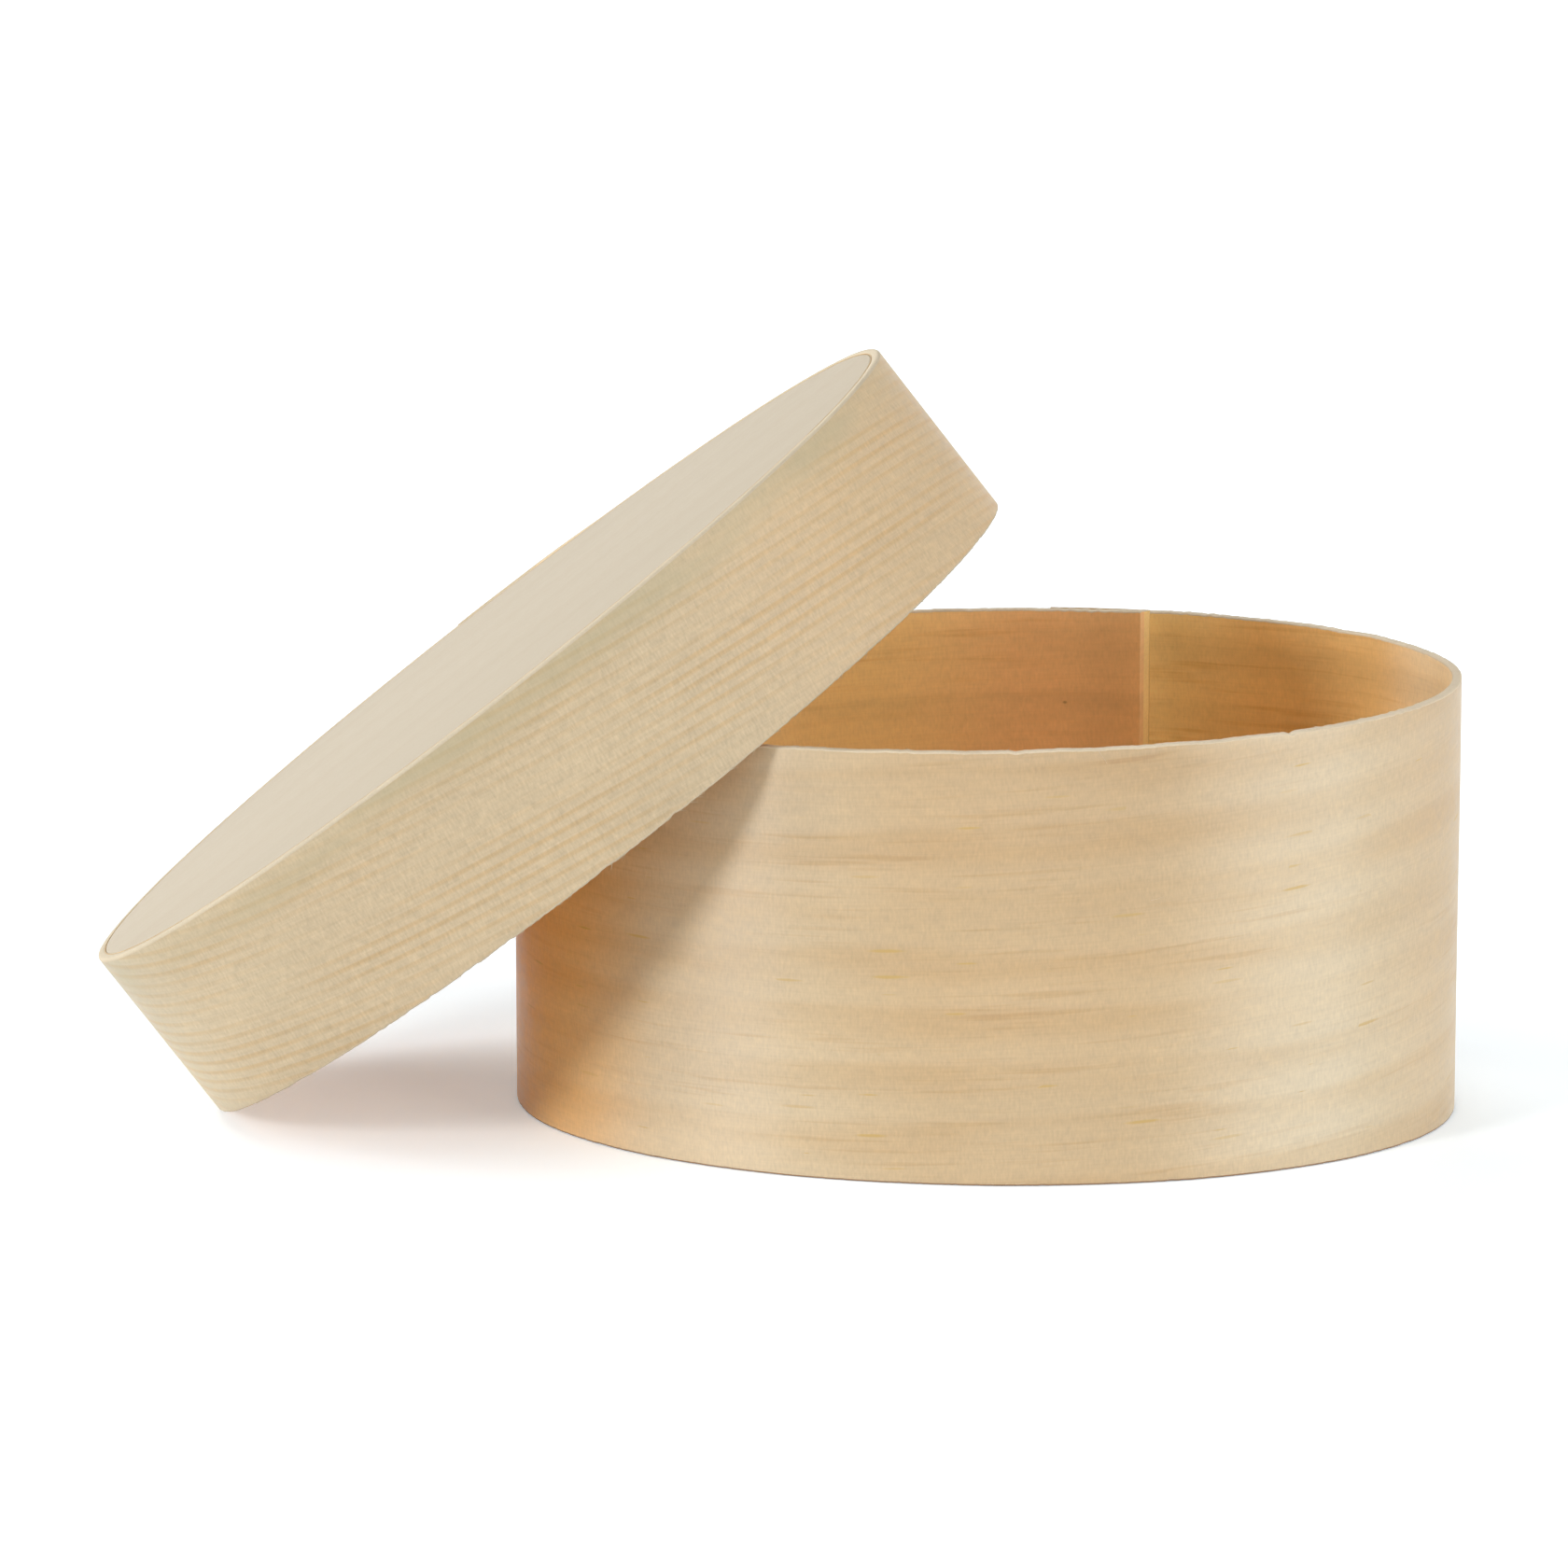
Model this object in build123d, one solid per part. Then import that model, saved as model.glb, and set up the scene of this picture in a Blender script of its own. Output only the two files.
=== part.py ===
from build123d import *

import math
import os

# An oval chip box: a box and a lid, each a bent strip of pine veneer round a flat oval panel.
# The lid is off the box. It stands on its open edge at the left and leans on the box's left rim.
# Millimetres. Origin at the centre of the box's underside, +X along the oval's long axis,
# +Y towards the back, where the strips' ends overlap, and +Z up.

# The box
BODY_LENGTH = 150.0  # over the strip, along X
BODY_WIDTH = 102.0  # over the strip, along Y
BODY_HEIGHT = 69.0  # to the middle of the rim
RIM_RISE = 2.7  # how much higher the rim is at the right end than at the left end
BODY_STRIP = 1.5  # thickness of the veneer
BASE_THICKNESS = 6.0

# The lap of the box's strip
BODY_SEAM_X = 24.0  # where the strip's inner end shows on the inside of the back wall
BODY_LAP = 16.0  # how far the strip's ends overlap
BODY_RAMP = 18.0  # length in which the strip moves outwards to pass over its own inner end

# The lid
LID_HEIGHT = 31.2
LID_STRIP = 1.5
LID_PLAY = 0.2  # between the closed lid and the outside of the box's lap
TOP_THICKNESS = 6.0
LID_SEAM_X = 12.0
LID_LAP = 16.0
LID_RAMP = 18.0

# The ends of both strips
INNER_BEVEL = 1.2  # length of the slope cut on the inner end
OUTER_BEVEL = 5.0  # length of the slope cut on the outer end
BEVEL_EDGE = 0.5  # thickness left at either end
GLUE_FILM = 0.2  # between glued pieces
GLUE_SEAT = 0.05  # left between a strip and the glue on it

# How the lid leans on the box
LID_LEAN = 37.7  # degrees between the lid's panel and the floor
LID_TURN = 8.9  # degrees that the lid's oval is turned in its own plane
FLOOR_GAP = 0.1  # under the lid's lowest point
REST_GAP = 0.3  # between the lid's panel and the rim that it leans on
SIDE_GAP = 0.6  # least gap between the lid's open edge and the sides of the box

STATION_STEP = 2.0  # degrees between the points of a strip's curves
OUTPUT_FOLDER = "parts"


class Oval:
    """An ellipse seen from above, given by its half length along X and half width along Y."""

    def __init__(self, half_length, half_width):
        self.half_length = half_length
        self.half_width = half_width

    def grown(self, distance):
        """The oval whose half length and half width are both longer by a distance."""
        return Oval(self.half_length + distance, self.half_width + distance)

    def point(self, angle, outwards):
        """The point at a parameter angle, moved outwards along the normal."""
        normal_x = self.half_width * math.cos(angle)
        normal_y = self.half_length * math.sin(angle)
        share = outwards / math.hypot(normal_x, normal_y)
        x = self.half_length * math.cos(angle) + share * normal_x
        y = self.half_width * math.sin(angle) + share * normal_y
        return x, y

    def back_angle(self, x):
        """The parameter angle of the point on the back half with this x."""
        return math.acos(x / self.half_length)

    def turned_by(self, length, angle):
        """How far the parameter angle moves along a short length of the oval."""
        return length / math.hypot(self.half_length * math.sin(angle), self.half_width * math.cos(angle))

    def reach(self, turn):
        """How far the oval, turned by an angle, reaches from its centre along X."""
        return math.hypot(self.half_length * math.cos(turn), self.half_width * math.sin(turn))

    def chord(self, turn, distance):
        """Middle and half length of the chord across the turned oval at a distance along X."""
        flat_x = 1 / self.half_length**2
        flat_y = 1 / self.half_width**2
        across = flat_x * math.sin(turn) ** 2 + flat_y * math.cos(turn) ** 2
        along = flat_x * math.cos(turn) ** 2 + flat_y * math.sin(turn) ** 2
        middle = distance * (flat_y - flat_x) * math.sin(turn) * math.cos(turn) / across
        return middle, math.sqrt(max(0, middle**2 + (1 - along * distance**2) / across))

    def left_of(self, half_chord):
        """The x, left of the centre, where the oval is this far from its long axis."""
        share = min(1, half_chord / self.half_width)
        return -self.half_length * math.sqrt(1 - share**2)


class BentStrip:
    """A strip bent once round an oval, from its inner end, past its ramp, to its outer end over the lap."""

    def __init__(self, oval, thickness, seam_x, lap, ramp):
        self.oval = oval
        self.thickness = thickness
        self.lift = thickness + GLUE_FILM
        self.start = oval.back_angle(seam_x)
        self.turn_end = self.start + 2 * math.pi
        self.ramp_angle = oval.turned_by(ramp, self.start)
        self.lap_angle = oval.turned_by(lap, self.start)
        self.end = self.turn_end + self.lap_angle
        self.inner_bevel_end = self.start + oval.turned_by(INNER_BEVEL, self.start)
        self.outer_bevel_start = self.end - oval.turned_by(OUTER_BEVEL, self.start)

    def offset(self, angle):
        """How far the strip's inner face stands outside the oval at an angle."""
        share = (angle - self.turn_end) / self.ramp_angle + 1
        share = min(1, max(0, share))
        return self.lift * share**3 * (10 - 15 * share + 6 * share**2)

    def stations(self, first, last):
        """Evenly spaced angles from the first to the last."""
        count = math.ceil(math.degrees(last - first) / STATION_STEP) + 1
        return [first + (last - first) * i / count for i in range(count + 1)]

    def curve(self, first, last, outwards):
        """A smooth curve along the strip at a distance outside its inner face."""
        return Spline(*[self.oval.point(a, self.offset(a) + outwards) for a in self.stations(first, last)])

    def inner_edge(self):
        """The inner face seen from above: the bevel of the inner end, then a curve to the outer end."""
        tip = self.oval.point(self.start, self.thickness - BEVEL_EDGE)
        curve = self.curve(self.inner_bevel_end, self.end, 0)
        return [Line(tip, curve @ 0), curve]

    def outer_edge(self):
        """The outer face seen from above: a curve from the inner end, then the bevel of the outer end."""
        curve = self.curve(self.start, self.outer_bevel_start, self.thickness)
        tip = self.oval.point(self.end, self.lift + BEVEL_EDGE)
        return [curve, Line(curve @ 1, tip)]

    def face(self):
        """The strip seen from above."""
        inner = self.inner_edge()
        outer = self.outer_edge()
        ends = [Line(inner[0] @ 0, outer[0] @ 0), Line(inner[-1] @ 1, outer[-1] @ 1)]
        return make_face(inner + outer + ends)

    def lap_glue_face(self):
        """The glue film between the two layers of the lap."""
        lap_end = self.start + self.lap_angle
        below = self.curve(self.start, lap_end, self.thickness + GLUE_SEAT)
        above = self.curve(self.start, lap_end, self.lift - GLUE_SEAT)
        return make_face([below, above, Line(below @ 0, above @ 0), Line(below @ 1, above @ 1)])

    def panel_glue_face(self):
        """The glue film between the strip and the panel inside it, with the step at the strip's inner end."""
        tip = self.oval.point(self.start, self.thickness - BEVEL_EDGE - GLUE_SEAT)
        bevel_end = self.oval.point(self.inner_bevel_end, -GLUE_SEAT)
        outer = self.curve(self.inner_bevel_end, self.turn_end, -GLUE_SEAT)
        stations = self.stations(self.inner_bevel_end, self.turn_end)
        inner = Spline(*[self.oval.point(a, GLUE_SEAT - GLUE_FILM) for a in stations])
        room = make_face([Line(tip, bevel_end), outer, Line(outer @ 1, tip)])
        return room - make_face([inner, Line(inner @ 1, inner @ 0)])


def panel_face(oval):
    """A flat oval panel inside a strip, smaller all round by the glue film."""
    panel = oval.grown(-GLUE_FILM)
    return make_face(Ellipse(panel.half_length, panel.half_width).edges())


def raised(face, bottom, top):
    """A solid over a face, from one height to another."""
    return Pos(0, 0, bottom) * extrude(face, top - bottom)


def make_box(strip):
    """The box's four pieces. The rim rises evenly from the left end to the right end."""
    slope = RIM_RISE / BODY_LENGTH
    rim = Plane(origin=(0, 0, BODY_HEIGHT), z_dir=(-slope, 0, 1))

    def below_rim(face):
        return split(raised(face, 0, BODY_HEIGHT + RIM_RISE), bisect_by=rim, keep=Keep.BOTTOM)

    return {
        "box_band": below_rim(strip.face()),
        "box_lap_glue": below_rim(strip.lap_glue_face()),
        "box_base": raised(panel_face(strip.oval), 0, BASE_THICKNESS),
        "box_base_glue": raised(strip.panel_glue_face(), 0, BASE_THICKNESS),
    }


def make_lid(strip):
    """The lid's four pieces, with the top face's centre at the origin and the open edge below."""
    return {
        "lid_band": raised(strip.face(), -LID_HEIGHT, 0),
        "lid_lap_glue": raised(strip.lap_glue_face(), -LID_HEIGHT, 0),
        "lid_top": raised(panel_face(strip.oval), -TOP_THICKNESS, 0),
        "lid_top_glue": raised(strip.panel_glue_face(), -TOP_THICKNESS, 0),
    }


def lid_place(strip, outside):
    """Where the lid lies: its open edge on the floor, against the outside oval of the box."""
    lean = math.radians(LID_LEAN)
    turn = math.radians(LID_TURN)
    edge_z = FLOOR_GAP + (strip.oval.reach(turn) + strip.thickness) * math.sin(lean)
    z = edge_z + LID_HEIGHT * math.cos(lean)

    # The underside of the lid's panel lies on the left end of the rim.
    rim_along_normal = outside.half_length * math.sin(lean) + (BODY_HEIGHT - RIM_RISE / 2) * math.cos(lean)
    panel_top = rim_along_normal + REST_GAP + TOP_THICKNESS
    panel_x = (z * math.cos(lean) - panel_top) / math.sin(lean)

    # The open edge passes outside the box's walls where it crosses the height of the rim.
    up_slope = (BODY_HEIGHT - edge_z) / math.sin(lean)
    middle, half_chord = strip.oval.chord(turn, up_slope)
    crossing_x = outside.left_of(half_chord - SIDE_GAP)
    side_x = crossing_x - up_slope * math.cos(lean) - LID_HEIGHT * math.sin(lean)
    return Pos(min(panel_x, side_x), -middle, z) * Rot(0, -LID_LEAN, 0) * Rot(0, 0, LID_TURN)


def main():
    outside = Oval(BODY_LENGTH / 2, BODY_WIDTH / 2)
    box_oval = outside.grown(-BODY_STRIP)
    box_strip = BentStrip(box_oval, BODY_STRIP, BODY_SEAM_X, BODY_LAP, BODY_RAMP)
    lid_oval = outside.grown(BODY_STRIP + GLUE_FILM + LID_PLAY)
    lid_strip = BentStrip(lid_oval, LID_STRIP, LID_SEAM_X, LID_LAP, LID_RAMP)

    nodes = make_box(box_strip)
    place = lid_place(lid_strip, outside)
    for name, solid in make_lid(lid_strip).items():
        nodes[name] = place * solid

    os.makedirs(OUTPUT_FOLDER, exist_ok=True)
    for name, solid in nodes.items():
        export_step(solid, f"{OUTPUT_FOLDER}/{name}.step")


main()
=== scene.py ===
import math
import random

import bpy
from bpy.props import FloatProperty, FloatVectorProperty, PointerProperty
from mathutils import Matrix, Vector, noise


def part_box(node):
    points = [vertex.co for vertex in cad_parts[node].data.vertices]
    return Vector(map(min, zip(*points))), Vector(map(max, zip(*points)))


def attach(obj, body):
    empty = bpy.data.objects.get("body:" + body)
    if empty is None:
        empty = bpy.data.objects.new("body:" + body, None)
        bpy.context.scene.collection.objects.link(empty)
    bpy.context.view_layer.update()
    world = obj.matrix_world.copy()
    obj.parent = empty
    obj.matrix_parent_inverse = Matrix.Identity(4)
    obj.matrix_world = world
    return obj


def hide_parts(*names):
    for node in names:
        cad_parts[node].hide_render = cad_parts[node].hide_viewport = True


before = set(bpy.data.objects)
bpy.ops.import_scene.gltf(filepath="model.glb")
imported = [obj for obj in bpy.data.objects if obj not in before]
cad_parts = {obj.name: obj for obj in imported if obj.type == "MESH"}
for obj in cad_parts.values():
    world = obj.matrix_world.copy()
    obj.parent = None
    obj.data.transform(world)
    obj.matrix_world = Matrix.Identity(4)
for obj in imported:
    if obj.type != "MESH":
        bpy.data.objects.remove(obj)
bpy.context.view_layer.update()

# An oval chip box of bent pine veneer, with its lid off and leaning on the left end of the box.
# Metres. Each strip is made flat, as it is cut from the veneer, and then bent round its oval.

bl_info = {
    "name": "Oval chip box",
    "version": (1, 0, 0),
    "blender": (4, 5, 0),
    "location": "3D View > Sidebar > Chip Box",
    "description": "Bends the strips, sets in the panels and finishes the wood of an oval chip box",
    "category": "Object",
}

MM = 0.001
TINY = 1e-6


def length_property(name, description, metres):
    return FloatProperty(name=name, description=description, default=metres, unit="LENGTH", precision=5)


def angle_property(name, description, degrees):
    return FloatProperty(name=name, description=description, default=math.radians(degrees), subtype="ANGLE")


def strength_property(name, description, strength):
    return FloatProperty(name=name, description=description, default=strength, min=0)


def colour_property(name, description, *colour):
    return FloatVectorProperty(name=name, description=description, default=colour, subtype="COLOR")


class ChipBoxSizes(bpy.types.PropertyGroup):
    """Sizes of the strips and panels."""

    veneer: length_property("Veneer", "Thickness of both strips", 1.5 * MM)
    glue_film: length_property("Glue film", "Glue between a strip and a panel, and in a lap", 0.2 * MM)
    box_height: length_property("Box height", "Height of the box's rim at its middle", 69 * MM)
    rim_rise: length_property(
        "Rim rise", "How much higher the rim is at the right end than at the left end", 2.7 * MM
    )
    lid_height: length_property("Lid height", "Width of the lid's strip", 31.2 * MM)
    panel: length_property("Panel", "Thickness of the bottom and of the lid's top", 6 * MM)
    lap: length_property("Lap", "How far a strip's ends overlap", 16 * MM)
    ramp: length_property("Ramp", "Length in which a strip moves out to pass over its own inner end", 18 * MM)
    box_seam: length_property("Box seam", "X of the box strip's inner end", 24 * MM)
    lid_seam: length_property("Lid seam", "X of the lid strip's inner end", 12 * MM)
    lid_play: length_property("Lid play", "Between the closed lid and the box's lap", 0.2 * MM)
    edge_round: length_property("Edge rounding", "Width of the rounding on the strips' cut edges", 0.3 * MM)
    sanded: length_property("Sanded edge", "Width of the sanding round the lid's top edge", 0.5 * MM)


class ChipBoxLean(bpy.types.PropertyGroup):
    """How the lid leans on the box."""

    lean: angle_property("Lean", "Angle between the lid's panel and the floor", 37.7)
    turn: angle_property("Turn", "Angle that the lid's oval is turned in its own plane", 8.9)


class ChipBoxWood(bpy.types.PropertyGroup):
    """Colours of the wood and the glue."""

    box_early: colour_property("Box early wood", "Pale wood of the box's strip", 0.574, 0.430, 0.247)
    # The box's pale parts are partly its wood's own paler tone and partly painted sheen, where the side lamps
    # glint on its front
    box_pale_and_sheen: colour_property("Box pale parts", "Paler, greyer parts of the box's strip", 0.663, 0.563, 0.387)
    # The box's warm parts are painted shade: the warm light that falls into the lid's shadow on the box's
    # left end, painted into its wood
    box_warm_painted_shade: colour_property("Box warm parts", "Warmer wood at the box's left end", 0.765, 0.468, 0.182)
    box_late: colour_property("Box late wood", "Darker bands of the box's strip", 0.51, 0.341, 0.16)
    inside_start: colour_property(
        "Inside, seam's left", "Inner face where the strip starts, left of the seam", 0.89, 0.53, 0.215
    )
    inside_end: colour_property(
        "Inside, seam's right", "Inner face where the strip ends, right of the seam", 0.91, 0.56, 0.195
    )
    # The inside's light parts are painted light: the inner face made paler where light falls into the box
    inside_painted_light: colour_property("Inside, light parts", "Paler parts of the inner face", 0.99, 0.72, 0.29)
    # The inside's right end is painted sheen: the inner face made paler where the lamps glint on it
    inside_painted_sheen: colour_property("Inside, right end", "Inner face at the box's right end", 0.90, 0.70, 0.41)
    lid_inside: colour_property(
        "Inside of the lid", "Inner faces of the lid and of the bottom", 0.98, 0.62, 0.17
    )
    lid_early: colour_property("Lid early wood", "Pale wood of the lid's strip", 0.56, 0.455, 0.30)
    lid_late: colour_property("Lid late wood", "Thin darker lines of the lid's strip", 0.53, 0.36, 0.175)
    lid_grey: colour_property("Lid grey", "Greyed patches near the lid's top edge", 0.44, 0.39, 0.25)
    panel_early: colour_property("Panel wood", "Smooth pale wood of the panels", 0.49, 0.43, 0.335)
    panel_late: colour_property("Panel streaks", "Faint streaks of the panels", 0.45, 0.375, 0.28)
    fleck: colour_property("Resin fleck", "Short resin marks in the box's strip", 0.53, 0.345, 0.085)
    cut_edge: colour_property("Cut edge", "Pale fibres of the cut edges", 0.68, 0.575, 0.42)
    lid_cut_edge: colour_property("Lid cut edge", "Fibres of the lid's cut edges", 0.55, 0.47, 0.34)
    slope: colour_property("Cut slope", "Slope cut on a strip's inner end", 0.93, 0.66, 0.27)
    # The foot is partly dirt and partly painted contact shade: a dark lower edge where the box meets the
    # floor
    foot: colour_property("Foot", "Worn lower edge of the box", 0.33, 0.21, 0.12)
    glue: colour_property("Glue", "Dried wood glue", 0.66, 0.46, 0.22)


class ChipBoxStage(bpy.types.PropertyGroup):
    """Camera, lamps and floor."""

    lens: FloatProperty(name="Lens", description="Focal length in millimetres", default=225.0, min=1)
    camera_distance: length_property("Camera distance", "From the camera to the point it aims at", 1.554)
    camera_height: angle_property("Camera angle", "How steeply the camera looks down", 13.68)
    camera_side: angle_property("Camera side", "How far round to the right the camera stands", 3.776)
    floor_size: length_property("Floor", "Side of the floor", 12.0)
    left: strength_property("Left light", "Strength of the lamp at the left", 1.25)
    low_left: strength_property("Low left light", "Strength of the wide low lamp at the far left", 2.40)
    right: strength_property("Right light", "Strength of the low lamp at the right", 1.75)
    far_right: strength_property("Far right light", "Strength of the low lamp at the far right", 0.55)
    front: strength_property("Front light", "Strength of the front lamp", 0.41)
    top: strength_property("Top light", "Strength of the lamp above", 0.50)
    back: strength_property("Back light", "Strength of the high lamp behind", 0.95)
    sky: strength_property("Sky light", "Strength of the light from all round", 0.01)


def settings():
    """The add-on's property groups."""
    scene = bpy.context.scene
    return scene.chip_box_sizes, scene.chip_box_lean, scene.chip_box_wood, scene.chip_box_stage


# Bending a strip

COLUMN_STEP = 0.55 * MM  # between the columns of a strip's mesh
ROW_STEP = 4 * MM
PATH_POINTS = 320
SMOOTH_ANGLE = math.radians(35)  # faces that meet at less than this are shaded as one
SQUARE_ON = 0.9  # least part of a normal along an axis, on a face that is square to it
SLOPING = 0.1  # least part of a normal along the strip, on a face of its ends
INNER_BEVEL = 1.2 * MM
OUTER_BEVEL = 5 * MM
BEVEL_EDGE = 0.5 * MM
PALE_SLOPE = 0.65 * MM  # the slope on the inner end is pale as far as this
# Cut edges below this height get the dark foot colour, partly dirt and partly painted contact shade
FOOT_HEIGHT = 0.35 * MM

# Where the veneer bends a little more sharply: angles round the oval in degrees
BOX_CREASES = (122, 151, 178, 203, 226, 247, 273, 297, 320, 341, 368, 392)
LID_CREASES = (120, 146, 176, 209, 233, 259, 284, 304, 327, 352, 377)
FLATNESS = 0.1 * MM  # how far a strip lies inside its oval, midway between two creases

# Material slots of a strip
SLOTS = range(5)
OUTER_FACE_SLOT, CUT_EDGE_SLOT, INNER_FACE_SLOT, SLOPE_SLOT, FOOT_SLOT = SLOTS

# Loose fibres on the edges
FIBRE_THICKNESS = 0.08 * MM
FIBRE_LENGTH = (0.4, 1.3)  # shortest and longest, in millimetres
FIBRE_TURN = (8, 40)  # degrees between a fibre and its edge
FIBRE_LEAN = (0, 12)  # degrees outwards
FIBRE_CURL = 150  # most, as the rise divided by the square of the length in metres

# How uneven a strip is, and the nicks in its edges as trim_edges takes them
EDGE_ZONE = 0.02  # share of the height, at either edge, that the ragged cut moves
FINE_NOTCHES = 900  # in a metre of edge
COARSE_NOTCHES = 160
COARSE_SEED = 7  # keeps the coarse notches apart from the fine ones
NOTCH_CHANGE = 3  # how much the notches differ between the two edges
WAVES_ALONG = 45  # in a metre
WAVES_UP = 30
WAVE_DEPTH = 0.09 * MM
BOX_NICKS = ((1, 272.1 * MM, 0.45 * MM, 0.9 * MM), (1, 228.5 * MM, 0.2 * MM, 1.4 * MM))
LID_NICKS = ((0, 230.4 * MM, 0.3 * MM, 1.1 * MM), (0, 217 * MM, 0.2 * MM, 1.5 * MM))
BOX_LAP_DROP = 0.45 * MM


class Oval:
    """An ellipse seen from above, given by its half length along X and half width along Y."""

    def __init__(self, half_length, half_width):
        self.half_length = half_length
        self.half_width = half_width

    def grown(self, distance):
        """The oval whose half length and half width are both longer by a distance."""
        return Oval(self.half_length + distance, self.half_width + distance)

    def point(self, angle, outwards=0.0):
        """The point at a parameter angle, moved outwards along the normal."""
        foot = Vector((self.half_length * math.cos(angle), self.half_width * math.sin(angle), 0))
        normal = Vector((self.half_width * math.cos(angle), self.half_length * math.sin(angle), 0))
        return foot + outwards * normal.normalized()

    def turned_by(self, length, angle):
        """How far the parameter angle moves along a short length of the oval."""
        return length / math.hypot(self.half_length * math.sin(angle), self.half_width * math.cos(angle))


class BentPath:
    """The line that the middle of a strip's thickness follows round its oval, from its inner end."""

    def __init__(self, oval, seam_x, creases):
        sizes = settings()[0]
        self.oval = oval
        self.veneer = sizes.veneer
        self.lift = sizes.veneer + sizes.glue_film
        self.start = math.acos(seam_x / oval.half_length)
        self.turn_end = self.start + 2 * math.pi
        self.ramp_angle = oval.turned_by(sizes.ramp, self.start)
        self.end = self.turn_end + oval.turned_by(sizes.lap, self.start)
        self.creases = [math.radians(crease) for crease in creases]
        step = (self.end - self.start) / PATH_POINTS
        self.points = [self.point(self.start + step * i) for i in range(PATH_POINTS + 1)]
        self.length = sum((after - before).length for before, after in zip(self.points, self.points[1:]))

    def ramp_share(self, angle):
        """How far along the ramp at the lap an angle is, from 0 before it to 1 past it."""
        return min(1, max(0, (angle - self.turn_end) / self.ramp_angle + 1))

    def offset(self, angle):
        """How far the inner face stands outside the oval: the ramp at the lap, and flats between creases."""
        share = self.ramp_share(angle)
        offset = self.lift * share**3 * (10 - 15 * share + 6 * share**2)
        for crease, following in zip(self.creases, self.creases[1:]):
            if crease < angle < following:
                between = (angle - crease) / (following - crease)
                offset -= FLATNESS * 4 * between * (1 - between)
        return offset

    def point(self, angle):
        """The middle of the strip at an angle."""
        return self.oval.point(angle, self.offset(angle) + self.veneer / 2)

    def place(self, distance):
        """The point at a distance along the path from its inner end."""
        share = min(max(distance / self.length, 0), 1) * PATH_POINTS
        index = min(int(share), PATH_POINTS - 1)
        return self.points[index].lerp(self.points[index + 1], share - index)

    def risen(self, distance):
        """How far the strip has moved out over its own inner end at a distance, from 0 to 1."""
        return self.ramp_share(self.start + (self.end - self.start) * distance / self.length)

    def curve(self):
        """A curve object along the path."""
        data = bpy.data.curves.new("bend_path", "CURVE")
        data.dimensions = "3D"
        data.twist_mode = "Z_UP"
        spline = data.splines.new("NURBS")
        spline.points.add(len(self.points) - 1)
        for target, point in zip(spline.points, self.points):
            target.co = (*point, 1)
        spline.order_u = 3
        spline.use_endpoint_u = True
        spline.resolution_u = 4
        path = bpy.data.objects.new("bend_path", data)
        bpy.context.collection.objects.link(path)
        return path


def pick(piece):
    """Makes one object the only selected and active one."""
    bpy.ops.object.select_all(action="DESELECT")
    piece.select_set(True)
    bpy.context.view_layer.objects.active = piece


def apply_modifier(piece, kind, **values):
    """Adds a modifier with its values and applies it."""
    pick(piece)
    modifier = piece.modifiers.new(kind.title(), kind)
    for name, value in values.items():
        setattr(modifier, name, value)
    bpy.ops.object.modifier_apply(modifier=modifier.name)


def edit(piece, *steps):
    """Runs edit-mode steps on a piece with everything selected."""
    pick(piece)
    bpy.ops.object.mode_set(mode="EDIT")
    bpy.ops.mesh.select_all(action="SELECT")
    for step in steps:
        step()
    bpy.ops.object.mode_set(mode="OBJECT")


def select_edges(piece, wanted):
    """In edit mode, selects the edges that are wanted by the places of their two ends."""
    bpy.ops.mesh.select_mode(type="EDGE")
    bpy.ops.object.mode_set(mode="OBJECT")
    points = piece.data.vertices
    for face in piece.data.polygons:
        face.select = False
    for edge in piece.data.edges:
        edge.select = wanted(*(points[index].co for index in edge.vertices))
    bpy.ops.object.mode_set(mode="EDIT")


def flat_strip(name, length, height, veneer, edge_round, sanded=0.0):
    """A flat strip of veneer: X along the grain, Y through the thickness, Z from edge to edge.

    Its inner face is at +Y. Its upper outer edge is rounded more widely when it is sanded."""
    bpy.ops.object.select_all(action="DESELECT")
    bpy.ops.mesh.primitive_grid_add(
        x_subdivisions=round(length / COLUMN_STEP), y_subdivisions=round(height / ROW_STEP), size=1,
        location=(length / 2, 0, height / 2), rotation=(math.pi / 2, 0, 0),
    )
    strip = bpy.context.object
    strip.name = strip.data.name = name
    strip.scale = (length, height, 1)
    bpy.ops.object.transform_apply()
    for _ in SLOTS:
        strip.data.materials.append(None)
    apply_modifier(strip, "SOLIDIFY", thickness=veneer, offset=0, material_offset_rim=CUT_EDGE_SLOT)
    for face in strip.data.polygons:
        if face.normal.y > SQUARE_ON:
            face.material_index = INNER_FACE_SLOT

    def is_long(first, second):
        level = abs(first.y - second.y) < TINY and abs(first.z - second.z) < TINY
        return level and abs(first.x - second.x) > TINY and min(first.z, height - first.z) < TINY

    def is_sanded(point):
        return sanded > 0 and point.y < 0 and point.z > height / 2

    def round_edges(width, wanted):
        select_edges(strip, lambda first, second: is_long(first, second) and wanted(first))
        bpy.ops.mesh.bevel(offset=width, segments=4, affect="EDGES", material=CUT_EDGE_SLOT)

    edit(strip, lambda: round_edges(edge_round, lambda point: not is_sanded(point)))
    if sanded:
        edit(strip, lambda: round_edges(sanded, is_sanded))
    return strip


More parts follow.
